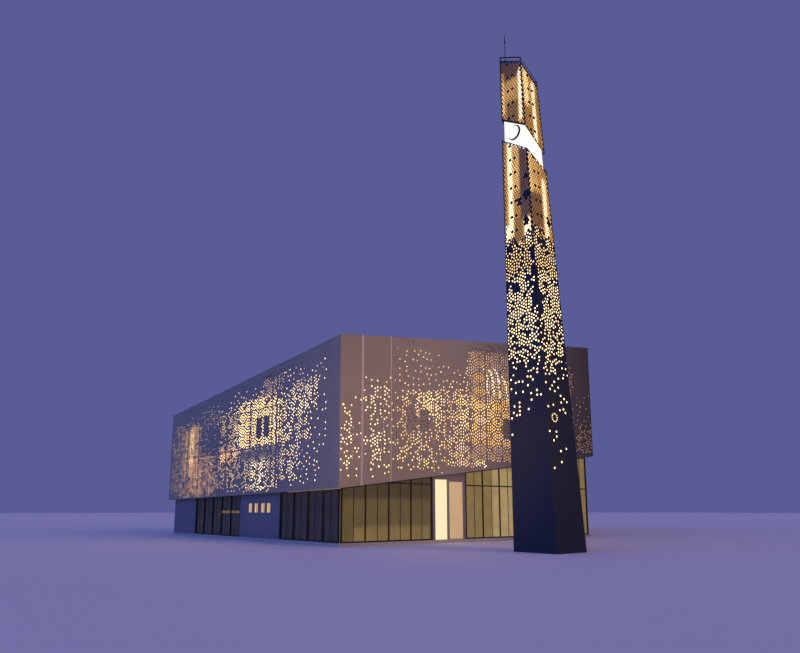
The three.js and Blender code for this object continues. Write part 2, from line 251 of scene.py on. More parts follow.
finishes = {
    "skinX": skinMetal("skinAlongX", skinLook["hall"], 0),
    "skinY": skinMetal("skinAlongY", skinLook["hall"], 1),
    # The minaret's metal is the dark, shaded copy of the skin metal: painted shade.
    "minaretX": skinMetal("minaretAlongX", skinLook["minaret"], 0),
    "minaretY": skinMetal("minaretAlongY", skinLook["minaret"], 1),
    # Pale metal for the strips on the front skin: a painted highlight.
    "paleMetal": paintedSteel("paleMetal", rgb(0.72, 0.66, 0.6)),
    "steel": paintedSteel("darkSteel", rgb(0.03, 0.028, 0.03)),
    "bronze": paintedSteel("bronze", rgb(0.22, 0.12, 0.03)),
    "black": paintedSteel("blackPaint", rgb(0.006, 0.006, 0.008), 0.0),
    "concrete": cast("fairFacedConcrete", rgb(0.42, 0.41, 0.39), rgb(0.30, 0.29, 0.28)),
    "plaster": cast("warmPlaster", rgb(0.60, 0.52, 0.40), rgb(0.50, 0.43, 0.33)),
    "stone": cast("honedStone", rgb(0.20, 0.18, 0.19), rgb(0.14, 0.13, 0.15), 2.0, 25.0),
    "roofing": membrane("roofMembrane", rgb(0.42, 0.41, 0.42), rgb(0.32, 0.31, 0.33), (1.5 * m, 0.05 * m)),
    "lining": glowing("litLining", 1.98, rgb(0.9, 0.76, 0.5)),
    "lantern": glowing("litLantern", 1.5, rgb(0.2, 0.1, 0.03)),
    "blind": glowing("litBlind", 1.0, rgb(0.06, 0.05, 0.045)),
    "band": lamp("opalBand", rgb(1.0, 0.93, 0.8), 1.15, 0.06),
    "tube": lamp("lightTube", rgb(1.0, 0.84, 0.5), 2.2),
    "strip": lamp("soffitStrip", rgb(0.8, 0.42, 0.12), 0.8),
    "entryLight": lamp("entryLight", rgb(1.0, 0.84, 0.48), 0.95, 0.15),
    "warmPanel": lamp("warmPanel", rgb(0.55, 0.36, 0.13), 0.85, 0.3),
    "smallPane": lamp("smallPane", rgb(1.0, 0.62, 0.2), 0.9, 0.25),
    "glass": glazing("darkGlass", rgb(0.035, 0.045, 0.055), 0.55),
}
print("finishes made")


# Geometry Nodes trees
def geometryTree(name, inputs):
    tree = bpy.data.node_groups.new(name, "GeometryNodeTree")
    tree.interface.new_socket("Geometry", in_out="INPUT", socket_type="NodeSocketGeometry")
    for key, kind in inputs.items():
        tree.interface.new_socket(key, in_out="INPUT", socket_type="NodeSocket" + kind)
    tree.interface.new_socket("Geometry", in_out="OUTPUT", socket_type="NodeSocketGeometry")
    graph = Graph(tree)
    entry = tree.nodes.new("NodeGroupInput")
    return graph, {socket.name: Wire(graph, socket) for socket in entry.outputs if socket.name}


def finishTree(graph, geometry, material):
    whole = graph.node("GeometryNodeRealizeInstances", {}, {0: geometry})
    dressed = graph.node("GeometryNodeSetMaterial", {}, {"Geometry": whole, "Material": material})
    leave = graph.tree.nodes.new("NodeGroupOutput")
    graph.tree.links.new(dressed.socket, leave.inputs[0])
    return graph.tree


# Points with a size become holes in the flat sheets that the edges outline.
def makePerforationTree():
    graph, given = geometryTree("perforatedSheet",
                                {"Hole sides": "Int", "Thickness": "Float", "Material": "Material"})

    def stored(name, kind="FLOAT"):
        return graph.node("GeometryNodeInputNamedAttribute", {"data_type": kind}, {"Name": name})

    holeSize = stored("holeSize")
    isHole = graph.node("FunctionNodeCompare", {"data_type": "FLOAT", "operation": "GREATER_THAN"},
                        {0: holeSize, 1: 0.0})
    parts = [graph.node("GeometryNodeSeparateGeometry", {"domain": "POINT"},
                        {"Geometry": given["Geometry"], "Selection": isHole}, output) for output in (0, 1)]
    circle = graph.node("GeometryNodeCurvePrimitiveCircle", {},
                        {"Resolution": given["Hole sides"], "Radius": 1.0})
    spin = graph.node("ShaderNodeCombineXYZ", {}, {2: stored("holeTurn")})
    width = holeSize * stored("holeStretch")
    scale = graph.node("ShaderNodeCombineXYZ", {}, {0: width, 1: holeSize, 2: 1.0})
    cut = graph.node("GeometryNodeInstanceOnPoints", {},
                     {"Points": parts[0], "Instance": circle, "Rotation": spin, "Scale": scale})
    loops = graph.node("GeometryNodeRealizeInstances", {}, {0: cut})
    outline = graph.node("GeometryNodeMeshToCurve", {}, {0: parts[1]})
    flat = graph.node("GeometryNodeFillCurve", {}, {0: graph.join(outline, loops),
                                                    "Group ID": stored("sheet", "INT")})
    solid = graph.node("GeometryNodeExtrudeMesh", {"mode": "FACES"},
                       {"Mesh": flat, "Offset Scale": given["Thickness"] * -1.0, "Individual": False})
    closed = graph.join(solid, flat)
    merged = graph.node("GeometryNodeMergeByDistance", {}, {"Geometry": closed, "Distance": 0.00001})
    return finishTree(graph, merged, given["Material"])


# The given piece stands at each step, and grows or shrinks along its height from step to step.
def makeRowTree():
    graph, given = geometryTree("row", {"Count": "Int", "Step": "Vector", "Growth": "Float",
                                        "Material": "Material"})
    line = graph.node("GeometryNodeMeshLine", {"mode": "OFFSET"},
                      {"Count": given["Count"], "Offset": given["Step"]})
    number = graph.node("GeometryNodeInputIndex")
    scale = graph.node("ShaderNodeCombineXYZ", {}, {0: 1.0, 1: 1.0 + number * given["Growth"], 2: 1.0})
    row = graph.node("GeometryNodeInstanceOnPoints", {},
                     {"Points": line, "Instance": given["Geometry"], "Scale": scale})
    return finishTree(graph, row, given["Material"])


perforationTree = makePerforationTree()
rowTree = makeRowTree()


def addObject(name, data):
    made = bpy.data.objects.new(name, data)
    bpy.context.scene.collection.objects.link(made)
    return made


def grown(mesh, tree, values, name):
    piece = addObject(name, mesh)
    modifier = piece.modifiers.new("grow", "NODES")
    modifier.node_group = tree
    for socket in tree.interface.items_tree:
        if socket.in_out == "INPUT" and socket.name in values:
            modifier[socket.identifier] = values[socket.name]
    ready = piece.evaluated_get(bpy.context.evaluated_depsgraph_get())
    plain = bpy.data.meshes.new_from_object(ready)
    piece.modifiers.clear()
    piece.data = plain
    bpy.data.meshes.remove(mesh)
    plain.name = name
    return piece


# Pieces
def meshOf(name, points, faces, edges=()):
    mesh = bpy.data.meshes.new(name)
    mesh.from_pydata([tuple(point) for point in points], list(edges), faces)
    mesh.update()
    return mesh


def settle(piece, replaced=()):
    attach(piece, "root")
    if replaced:
        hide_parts(*replaced)


def addPiece(name, mesh, finish):
    mesh.materials.append(finishes[finish])
    settle(addObject(name, mesh))


def rectangle(u0, u1, z0, z1):
    return [(u0, z0), (u1, z0), (u1, z1), (u0, z1)]


# Four corners between two edges whose heights may slope
def between(u0, u1, low, high):
    return [(u0, low(u0)), (u1, low(u1)), (u1, high(u1)), (u0, high(u0))]


class Shape:
    def __init__(self):
        self.points, self.faces = [], []

    # A six-sided solid between two quads that face each other. Its faces look outward either way round.
    def block(self, first, second):
        if (first[1] - first[0]).cross(first[2] - first[1]).dot(first[0] - second[0]) < 0:
            first, second = first[::-1], second[::-1]
        start = len(self.points)
        self.points += [*first, *second]
        quads = [(0, 1, 2, 3), (7, 6, 5, 4), (0, 4, 5, 1), (1, 5, 6, 2), (2, 6, 7, 3), (3, 7, 4, 0)]
        self.faces += [tuple(start + corner for corner in quad) for quad in quads]

    # A plate on a face, with its front this far out.
    def plate(self, face, corners, front, thickness):
        self.block(*([face.at(u, z, out) for u, z in corners] for out in (front, front - thickness)))

    def add(self, name, finish, slot):
        addPiece(name, meshOf(name, self.points, self.faces), finish)


# A flat face seen from outside: u runs to the right, v runs up the face, and out is towards the viewer.
class Face:
    def __init__(self, start, along, lean=(0, 0)):
        self.start = Vector(start)
        self.along = Vector((*along, 0))
        rise = Vector((*lean, 1))
        self.stretch = rise.length
        self.up = rise.normalized()
        self.out = self.along.cross(self.up).normalized()

    def at(self, u, z, out=0.0):
        return self.start + self.along * u + self.up * (z * self.stretch) + self.out * out

    def matrix(self):
        turned = Matrix((self.along, self.up, self.out)).transposed().to_4x4()
        turned.translation = self.start
        return turned


# Sheets are outlines of (along, height), and holes are (sheet, along, height, size, turn, stretch).
def perforated(name, face, sheets, holes, thickness, finish, replaced, holeSides):
    points, edges, numbers = [], [], []
    for number, outline in enumerate(sheets):
        first = len(points)
        points += [(u, z * face.stretch, 0) for u, z in outline]
        edges += [(first + index, first + (index + 1) % len(outline)) for index in range(len(outline))]
        numbers += [number] * len(outline)
    corners = len(points)
    points += [(u, z * face.stretch, 0) for sheet, u, z, size, turn, stretch in holes]
    numbers += [hole[0] for hole in holes]
    mesh = meshOf(name + "Plan", points, [], edges)
    mesh.attributes.new("sheet", "INT", "POINT").data.foreach_set("value", numbers)
    for key, place in (("holeSize", 3), ("holeTurn", 4), ("holeStretch", 5)):
        values = [0.0] * corners + [hole[place] for hole in holes]
        mesh.attributes.new(key, "FLOAT", "POINT").data.foreach_set("value", values)
    piece = grown(mesh, perforationTree,
                  {"Hole sides": holeSides, "Thickness": thickness, "Material": finishes[finish]}, name)
    piece.data.transform(face.matrix())
    work = bmesh.new()
    work.from_mesh(piece.data)
    bmesh.ops.recalc_face_normals(work, faces=work.faces)
    work.to_mesh(piece.data)
    work.free()
    print(name, len(sheets), "sheets", len(holes), "holes", len(piece.data.polygons), "faces")
    settle(piece, replaced)


# A row of steel bars between two edges of a face, from the first one's place, the spacing and their number
def barRow(name, face, section, places, foot, head, behind):
    width, depth = section
    first, spacing, count = places
    second = first + spacing
    heights = [head(u) - foot(u) for u in (first, second)]
    bar = Shape()
    bar.block(*([Vector((u, v, out)) for u, v in rectangle(-width / 2, width / 2, 0, heights[0])]
                for out in (0, -depth)))
    piece = grown(meshOf(name + "Bar", bar.points, bar.faces), rowTree, {
        "Count": count, "Step": (spacing, foot(second) - foot(first), 0.0),
        "Growth": heights[1] / heights[0] - 1, "Material": finishes["steel"]}, name)
    piece.data.transform(Matrix.Translation((first, foot(first) * face.stretch, -behind)))
    piece.data.transform(face.matrix())
    settle(piece)


# Thickens a flat sheet, stores a glow at each point and stands it on the face. Its back is dark unless told.
def hangSheet(name, work, face, front, thickness, glowOf, finish, litBack=False):
    bmesh.ops.solidify(work, geom=work.faces[:], thickness=thickness)
    bmesh.ops.recalc_face_normals(work, faces=work.faces)
    mesh = bpy.data.meshes.new(name)
    work.to_mesh(mesh)
    work.free()
    middle = sum(vertex.co.z for vertex in mesh.vertices) / len(mesh.vertices)
    glows = []
    for vertex in mesh.vertices:
        lit = litBack or vertex.co.z > middle
        glows += [*(glowOf(vertex.co.x, vertex.co.y / face.stretch) if lit else (0.0, 0.0, 0.0)), 1.0]
    mesh.color_attributes.new("glow", "FLOAT_COLOR", "POINT").data.foreach_set("color", glows)
    mesh.transform(Matrix.Translation((0, 0, front)))
    mesh.transform(face.matrix())
    addPiece(name, mesh, finish)


# Lower cells and shorter edges of a lit sheet are left out, and nearer corners are merged.
smallest = {"cell": 0.001, "edge": 0.0001, "apart": 0.0002}


# A lit sheet of cells between the columns' and the rows' edges. The rows are clipped between low and high,
# and the cells that isOpen names are left out.
def litSheet(name, face, columns, rows, low, high, front, thickness, glowOf, finish,
             isOpen=lambda u, z: False):
    work = bmesh.new()
    cells = [(u0, u1, z0, z1) for u0, u1 in zip(columns, columns[1:]) for z0, z1 in zip(rows, rows[1:])
             if not isOpen((u0 + u1) / 2, (z0 + z1) / 2)]
    for cell in cells:
        ring = [(u, min(max(z, low(u)), high(u))) for u, z in rectangle(*cell)]
        if max(ring[3][1] - ring[0][1], ring[2][1] - ring[1][1]) < smallest["cell"]:
            continue
        ring = [corner for index, corner in enumerate(ring)
                if math.dist(corner, ring[index - 1]) > smallest["edge"]]
        work.faces.new([work.verts.new((u, z * face.stretch, 0)) for u, z in ring])
    bmesh.ops.remove_doubles(work, verts=work.verts, dist=smallest["apart"])
    hangSheet(name, work, face, front, thickness, glowOf, finish)


def steps(start, end, longest):
    count = max(1, math.ceil((end - start) / longest))
    return [start + (end - start) * index / count for index in range(count + 1)]


def divided(marks, longest):
    places = [steps(start, end, longest)[:-1] for start, end in zip(marks, marks[1:])]
    return sum(places, []) + marks[-1:]


# The hall's skin
hall = {
    "width": 35.2 * m, "depth": 39.1 * m, "thickness": 0.02 * m,
    "topNear": 18.0 * m, "topAlongFront": 4.13 * m, "topAlongLeft": -2.86 * m,
    "bottomNear": 4.8 * m, "bottomAlongFront": 4.37 * m, "bottomAlongLeft": -0.53 * m,
    "sheetWidth": 6.0 * m, "joint": 0.004 * m, "rim": 0.01 * m, "holeSides": 6, "pattern": (4 * m, 23 * m),
    "denseShare": 0.9, "denseHoles": (0.96, 1.06), "sparseHoles": (0.74, 0.94), "firstSeed": 11,
}
halfWidth, halfDepth = hall["width"] / 2, hall["depth"] / 2
lengthwise = ("left", "right")


def slope(kind, place):
    return (hall[kind + "Near"] + hall[kind + "AlongFront"] * (place.x / hall["width"] + 0.5)
            + hall[kind + "AlongLeft"] * (place.y / hall["depth"] + 0.5))


hallFaces = {
    "front": Face((-halfWidth, -halfDepth, 0), (1, 0)),
    "right": Face((halfWidth, -halfDepth, 0), (0, 1)),
    "back": Face((halfWidth, halfDepth, 0), (-1, 0)),
    "left": Face((-halfWidth, halfDepth, 0), (0, -1)),
}


def hallLength(side):
    return hall["depth" if side in lengthwise else "width"]


# The left and back faces run towards the near or left corner, so their patterns are mirrored.
def fromStart(side, u):
    return hallLength(side) - u if side in ("left", "back") else u


def spanOn(side, start, end):
    return sorted((fromStart(side, start), fromStart(side, end)))


def skinFoot(side):
    return lambda u: slope("bottom", hallFaces[side].at(u, 0))


def skinHead(side):
    return lambda u: slope("top", hallFaces[side].at(u, 0))


# A rosette: a middle hole with two rings of petals, and one hole in each space between rosettes.
hallRosette = {
    "spacing": 1.46 * m, "start": (0.35 * m, 0.2 * m), "middle": 0.112 * m,
    "rings": [(6, 0.34 * m, 0.088 * m, 1.0, 0.0), (12, 0.622 * m, 0.088 * m, 1.12, 0.5)],
    "between": 0.094 * m, "apart": 0.58 * m,
}


# Every hole of the full pattern: along, height, size, turn, stretch.
def rosetteHoles(uSpan, zSpan, style):
    step = style["spacing"] * math.sqrt(3) / 2
    startU, startZ = style["start"]
    for column in range(math.floor((uSpan[0] - startU) / step), math.ceil((uSpan[1] - startU) / step) + 1):
        shift = style["spacing"] / 2 * (column % 2)
        firstRow = math.floor((zSpan[0] - startZ) / style["spacing"])
        lastRow = math.ceil((zSpan[1] - startZ) / style["spacing"])
        for row in range(firstRow, lastRow + 1):
            u, z = startU + column * step, startZ + row * style["spacing"] + shift
            yield u, z, style["middle"], 0.0, 1.0
            for count, reach, size, stretch, turn in style["rings"]:
                for petal in range(count):
                    angle = (petal + turn) * math.tau / count
                    yield u + reach * math.cos(angle), z + reach * math.sin(angle), size, angle, stretch
            for way in (1, -1):
                yield u + way * style["spacing"] / math.sqrt(3), z, style["between"], 0.5, 1.0


# Where holes are cut, in real metres from the near corner or the front's left end and above the ground:
# first and last along, foot, head, and the share of the holes there.
leftClouds = [
    (29.7, 35.2, 6.4, 12.9, 1.0), (35.2, 38.7, 4.8, 11.6, 0.4), (29.0, 37.4, 4.6, 13.6, 0.5),
    (25.0, 33.0, 4.5, 9.4, 0.84), (24.8, 29.6, 11.6, 14.8, 0.32), (24.4, 29.4, 9.2, 12.2, 0.22),
    (17.6, 25.0, 5.3, 14.0, 0.42), (19.2, 24.4, 8.2, 9.9, 1.0), (17.4, 21.6, 9.0, 13.0, 0.85),
    (15.0, 22.0, 13.5, 15.8, 0.2), (9.9, 19.4, 9.0, 14.1, 1.1), (10.4, 18.2, 4.9, 9.2, 0.72),
    (10.0, 14.0, 14.0, 16.3, 0.95), (3.6, 8.4, 12.1, 14.8, 0.75), (5.0, 10.4, 9.4, 14.2, 0.72),
    (6.4, 10.6, 5.6, 10.0, 0.5), (3.0, 7.0, 5.6, 12.6, 0.28), (2.4, 10.4, 13.8, 16.8, 0.24),
    (1.4, 3.4, 7.5, 15.0, 0.1),
]
frontClouds = [
    (0.1, 1.9, 6.2, 12.0, 0.5), (2.6, 4.1, 6.8, 13.3, 0.68), (2.8, 5.6, 6.2, 14.2, 0.38),
    (5.6, 11.2, 14.0, 18.9, 0.25), (5.6, 11.4, 6.3, 13.8, 0.42), (6.6, 11.4, 8.2, 12.4, 0.5),
    (8.4, 11.4, 11.6, 14.0, 1.0), (11.0, 13.8, 6.4, 14.6, 0.55), (13.0, 15.6, 6.8, 14.6, 0.85),
    (11.0, 15.6, 14.0, 16.6, 0.26), (15.3, 25.0, 6.9, 19.0, 1.15), (15.3, 25.0, 18.4, 20.8, 0.6),
    (25.0, 31.6, 8.2, 19.0, 0.7), (31.4, 35.2, 9.0, 12.6, 0.6), (31.4, 35.0, 12.4, 16.4, 0.12),
]

cloudEdge = {
    "soft": 1.1, "waver": 0.7, "waverSize": 1.7, "grain": 0.35, "grainSize": 0.8,
    "grainPlace": Vector((7, 3, 0)),
}


def shareOf(u, z, clouds):
    place = Vector((u / m, z / m, 0))
    waver = cloudEdge["waver"] * noise.noise(place / cloudEdge["waverSize"])
    share = 0.0
    for first, last, foot, head, most in clouds:
        inside = min(place.x - first, last - place.x, place.y - foot, head - place.y) + waver
        share = max(share, most * min(1.0, max(0.0, inside / cloudEdge["soft"] + 0.5)))
    grain = noise.noise(place / cloudEdge["grainSize"] + cloudEdge["grainPlace"])
    return share * (1.0 + cloudEdge["grain"] * grain)


def skinSheets(side):
    length = hallLength(side)
    inset = hall["thickness"] + gap if side in lengthwise else 0.0
    half = hall["joint"] / 2
    columns = steps(inset, length - inset, hall["sheetWidth"])
    sheets = []
    for number, (u0, u1) in enumerate(zip(columns, columns[1:])):
        u0 += half * (number > 0)
        u1 -= half * (number < len(columns) - 2)
        sheets.append(between(u0, u1, skinFoot(side), skinHead(side)))
    return sheets


# A hole goes into the sheet that holds all of it, and is left out where a joint runs through it.
def sheetFor(u, z, reach, sheets):
    for number, ((u0, z0), (u1, z1), (u2, z2), (u3, z3)) in enumerate(sheets):
        if u0 + reach < u < u1 - reach and max(z0, z1) + reach < z < min(z2, z3) - reach:
            return number
    return None


# How fast the distance that holes keep falls where more of them are wanted
distanceFall = 1.4


# Holes of the pattern are drawn in a mixed order, and where few are wanted they keep apart.
def drawn(pattern, shareFor, widest, chance):
    pattern = list(pattern)
    chance.shuffle(pattern)
    taken, kept = {}, []
    for hole in pattern:
        u, z = hole[:2]
        share = shareFor(u, z)
        apart = widest * (1.0 - distanceFall * share)
        column, row = math.floor(u / widest), math.floor(z / widest)
        near = [place for across in (-1, 0, 1) for along in (-1, 0, 1)
                for place in taken.get((column + across, row + along), [])]
        crowded = apart > 0 and any(math.dist((u, z), place) < apart for place in near)
        if not crowded and chance.random() < share * (1.0 + max(0.0, apart) / widest):
            taken.setdefault((column, row), []).append((u, z))
            kept.append(hole)
    return kept


# Bright curved streaks in front of the front's lining: first and last along, head, foot, in real metres.
# The holes in front of them are wider by the given share.
lightArcs = {
    "arcs": [(17.3, 18.0, 17.4, 14.8), (18.1, 18.9, 17.2, 14.6), (18.9, 19.8, 17.4, 14.4),
             (19.8, 20.9, 16.8, 14.2), (20.8, 21.8, 16.2, 14.0)],
    "behind": 0.033 * m, "width": 0.3 * m, "thickness": 0.003 * m, "pieces": 8,
    "near": 0.22 * m, "wider": 1.2,
}


def arcPlaces(first, last, head, foot):
    turns = [step / lightArcs["pieces"] * math.pi / 2 for step in range(lightArcs["pieces"] + 1)]
    return [((first + (last - first) * math.sin(turn)) * m, (head - (head - foot) * (1 - math.cos(turn))) * m)
            for turn in turns]


def byArc(u, z):
    return any(math.dist((u, z), place) < lightArcs["near"]
               for arc in lightArcs["arcs"] for place in arcPlaces(*arc))


def hallSkin(side, seed):
    clouds = leftClouds if side in lengthwise else frontClouds
    wanted = lambda u, z: shareOf(fromStart(side, u), z, clouds)
    chance = random.Random(seed)
    sheets, holes = skinSheets(side), []
    pattern = rosetteHoles((0, hallLength(side)), hall["pattern"], hallRosette)
    for u, z, size, turn, stretch in drawn(pattern, wanted, hallRosette["apart"], chance):
        dense = wanted(u, z) > hall["denseShare"]
        size *= chance.uniform(*hall["denseHoles" if dense else "sparseHoles"])
        if dense and side == "front" and byArc(u, z):
            size *= lightArcs["wider"]
        sheet = sheetFor(u, z, size * stretch + hall["rim"], sheets)
        if sheet is not None:
            holes.append((sheet, u, z, size, turn, stretch))
    perforated("skin" + side.title(), hallFaces[side], sheets, holes, hall["thickness"],
               "skinY" if side in lengthwise else "skinX", ["skin_" + side], hall["holeSides"])


for number, side in enumerate(hallFaces):
    hallSkin(side, number + hall["firstSeed"])
print("hall skins made")


# Lit lining close behind the hall's skin
lining = {"behind": 0.038 * m, "thickness": 0.008 * m, "cell": 0.32 * m, "foot": 0.18 * m, "head": 1.0 * m,
          "end": 0.06 * m, "lowest": 4 * m, "highest": 22 * m}
cream = (1.0, 0.8, 0.46)
warm = (1.0, 0.7, 0.26)
gold = (1.0, 0.56, 0.07)
orange = (1.0, 0.42, 0.08)
white = (1.0, 0.92, 0.74)
# Stronger and weaker light: first and last along, foot, head, colour, how much is added.
leftLights = [
    (-9, 9.8, 0.0, 40, cream, 1.1), (9.8, 24.5, 0.0, 40, warm, 0.95), (24.5, 50, 0.0, 40, warm, 0.48),
    (29.4, 35.6, 4.0, 13.4, orange, 0.22), (31.6, 33.2, 8.4, 13.2, warm, 1.0),
    (25.0, 33.2, 4.0, 9.3, orange, 0.36), (19.4, 24.4, 8.2, 9.7, orange, 0.5),
    (10.2, 19.6, 9.3, 13.1, warm, 0.7), (10.2, 21.6, 13.2, 14.4, warm, 1.0),
    (18.0, 20.6, 9.6, 11.8, cream, 0.6), (9.8, 14.2, 14.4, 16.8, warm, -0.62),
    (4.4, 9.8, 12.0, 13.9, cream, 0.5), (8.0, 9.8, 9.2, 11.6, warm, 0.5),
    (10.2, 18.6, 8.0, 9.2, warm, -0.72), (11.0, 17.8, 4.0, 8.0, white, 0.1),
    (13.2, 14.6, 5.0, 8.0, white, 1.2), (15.2, 16.2, 5.2, 8.0, white, 0.9),
    (3.0, 8.5, 14.6, 18.0, cream, -0.4),
]
frontLights = [
    (-9, 5.0, 0.0, 40, cream, 0.85), (5.0, 15.4, 0.0, 40, warm, 0.72), (15.4, 50, 0.0, 40, gold, 0.38),
    (31.2, 50, 0.0, 40, gold, -0.16), (8.6, 11.8, 11.4, 14.0, warm, 0.5), (6.0, 8.2, 9.0, 12.8, warm, -0.3),
    (13.8, 15.7, 11.0, 14.0, warm, 0.5), (15.7, 22.0, 9.4, 14.0, gold, 0.3),
    (15.7, 19.0, 11.6, 13.6, warm, 0.2), (15.7, 30.0, 16.4, 24.0, gold, -0.16),
    (15.7, 30.0, 7.4, 9.4, gold, -0.16), (16.0, 20.0, 6.6, 7.8, cream, 0.8),
    (5.6, 11.5, 14.4, 20.0, warm, -0.25),
]


glow = {"soft": 0.3, "least": 0.03}


def glowAt(u, z, lights, soft=glow["soft"]):
    total = [0.0, 0.0, 0.0]
    for first, last, foot, head, colour, strength in lights:
        inside = min(u / m - first, last - u / m, z / m - foot, head - z / m)
        share = strength * min(1.0, max(0.0, inside / soft + 0.5))
        total = [old + share * part for old, part in zip(total, colour)]
    return [max(glow["least"], part) for part in total]


def glowOn(side, lights):
    return lambda u, z: glowAt(fromStart(side, u), z, lights)


windows = {
    "width": 1.2 * m, "sill": 10.2 * m, "head": 12.3 * m, "behind": 0.7 * m, "frame": 0.07 * m,
    "frameDepth": 0.06 * m, "pane": 0.02 * m,
    "front": [8.7 * m, 10.2 * m, 21.5 * m, 23.0 * m], "left": [13.4 * m, 15.0 * m, 25.0 * m, 26.6 * m],
    "right": [9.0 * m, 10.6 * m, 25.0 * m, 26.6 * m], "back": [8.7 * m, 10.2 * m, 21.5 * m, 23.0 * m],
    "shift": {"front": -1.4 * m, "left": -0.75 * m, "right": 0.0, "back": 0.0},
}


# The windows stand behind the lining's openings, which are shifted towards the near corner.
def liningOpenings(side):
    return [start + windows["shift"][side] for start in windows[side]]


def inWindow(side, u, z):
    return windows["sill"] < z < windows["head"] and any(
        start < u < start + windows["width"] for start in liningOpenings(side))


def hallLining(side):
    length, low, high = hallLength(side), skinFoot(side), skinHead(side)
    jambs = [place for start in liningOpenings(side) for place in (start, start + windows["width"])]
    columns = divided([lining["end"], *jambs, length - lining["end"]], lining["cell"])
    if fromStart(side, 0) > 0:
        columns = [length - u for u in reversed(columns)]
    rows = divided([lining["lowest"], windows["sill"], windows["head"], lining["highest"]], lining["cell"])
    litSheet("lining" + side.title(), hallFaces[side], columns, rows, lambda u: low(u) + lining["foot"],
             lambda u: high(u) - lining["head"], -lining["behind"], lining["thickness"],
             glowOn(side, leftLights if side in lengthwise else frontLights), "lining",
             lambda u, z: inWindow(side, fromStart(side, u), z))


def frontArcs():
    shape, half = Shape(), lightArcs["width"] / 2
    for arc in lightArcs["arcs"]:
        places = arcPlaces(*arc)
        for (u0, z0), (u1, z1) in zip(places, places[1:]):
            corners = [(u0 - half, z0), (u1 - half, z1), (u1 + half, z1), (u0 + half, z0)]
            shape.plate(hallFaces["front"], corners, -lightArcs["behind"], lightArcs["thickness"])
    shape.add("lightArcs", "tube", "light")


# A dark sheet stands behind the skin above the roof.
parapet = {"end": 0.62 * m, "behind": 0.56 * m, "thickness": 0.015 * m, "foot": 1.6 * m, "head": 0.12 * m}


def parapetLining():
    shape = Shape()
    for side, face in hallFaces.items():
        high, end = skinHead(side), parapet["end"]
        corners = between(end, hallLength(side) - end, lambda u: high(u) - parapet["foot"],
                          lambda u: high(u) - parapet["head"])
        shape.plate(face, corners, -parapet["behind"], parapet["thickness"])
    shape.add("parapetLining", "bronze", "wall")


for side in hallFaces:
    hallLining(side)
parapetLining()
frontArcs()
print("linings made")


# Flat bars between the skin and its lining
posts = {"section": (0.13 * m, 0.004 * m), "margin": 1.5 * m, "spacing": 1.5 * m, "behind": 0.0275 * m,
         "foot": 0.2 * m, "head": 0.15 * m}
ledges = {"levels": [9.2 * m, 13.1 * m], "height": 0.1 * m, "behind": 0.022 * m, "depth": 0.004 * m,
          "end": 1.0 * m, "step": 0.5 * m, "overFoot": 0.5 * m, "underHead": 1.6 * m}


def finePosts(side):
    low, high, margin = skinFoot(side), skinHead(side), posts["margin"]
    length = hallLength(side) - 2 * margin
    bays = round(length / posts["spacing"])
    barRow("finePosts" + side.title(), hallFaces[side], posts["section"], (margin, length / bays, bays + 1),
           lambda u: low(u) + posts["foot"], lambda u: high(u) - posts["head"], posts["behind"])


def wallLedges():
    shape = Shape()
    for side in lengthwise:
        low, high = skinFoot(side), skinHead(side)
        for z in ledges["levels"]:
            reach = [u for u in steps(ledges["end"], hallLength(side) - ledges["end"], ledges["step"])
                     if low(u) + ledges["overFoot"] < z < high(u) - ledges["underHead"]]
            shape.plate(hallFaces[side], rectangle(reach[0], reach[-1], z, z + ledges["height"]),
                        -ledges["behind"], ledges["depth"])
    shape.add("wallLedges", "steel", "dark_frame")


for side in hallFaces:
    finePosts(side)
wallLedges()


# Panes and frames of the upper windows
def upperWindows():
    panes, frames = Shape(), Shape()
    bar, deep, pane = windows["frame"], windows["frameDepth"], -windows["behind"]
    z0, z1 = windows["sill"], windows["head"]
    for side, face in hallFaces.items():
        for start in windows[side]:
            u0, u1 = spanOn(side, start, start + windows["width"])
            middle = (u0 + u1) / 2
            panes.plate(face, rectangle(u0, u1, z0, z1), pane, windows["pane"])
            for span in ((u0, u0 + bar, z0, z1), (u1 - bar, u1, z0, z1), (u0 + bar, u1 - bar, z0, z0 + bar),
                         (u0 + bar, u1 - bar, z1 - bar, z1),
                         (middle - bar / 2, middle + bar / 2, z0 + bar, z1 - bar)):
                frames.plate(face, rectangle(*span), pane + deep, deep - gap)
    panes.add("windowPanes", "glass", "glass")
    frames.add("windowFrames", "steel", "dark_frame")


upperWindows()
print("posts, ledges and windows made")


# Ground storey: finer glazing bars, lit blinds behind the front's glass, lit panes and light strips
ground = {"foot": 0.3 * m, "bar": (0.04 * m, 0.05 * m), "spacing": 2.4 * m, "behind": 0.61 * m,
          "blind": 0.8 * m, "blindThickness": 0.02 * m, "cell": 0.3 * m, "highest": 9.6 * m}
glazed = {
    "frontNear": ("front", 0.7 * m, 10.85 * m), "frontFar": ("front", 15.15 * m, 34.5 * m),
    "leftNear": ("left", 0.91 * m, 11.0 * m), "leftFar": ("left", 19.6 * m, 31.5 * m),
    "right": ("right", 0.91 * m, 38.19 * m), "back": ("back", 0.7 * m, 34.5 * m),
}
olive = (0.8, 0.55, 0.14)
frontBlinds = [(-9, 50, -1, 40, olive, 0.42), (0.0, 10.8, 4.0, 12.0, olive, -0.2),
               (15.0, 35.0, -1, 9.0, warm, 0.35), (19.0, 24.0, 0.0, 7.2, cream, 0.5),
               (2.0, 10.6, 0.0, 1.6, warm, 0.25)]
sideBlinds = [(-9, 50, -1, 40, olive, 0.02), (0.9, 11.0, 3.6, 9.0, olive, 0.04)]


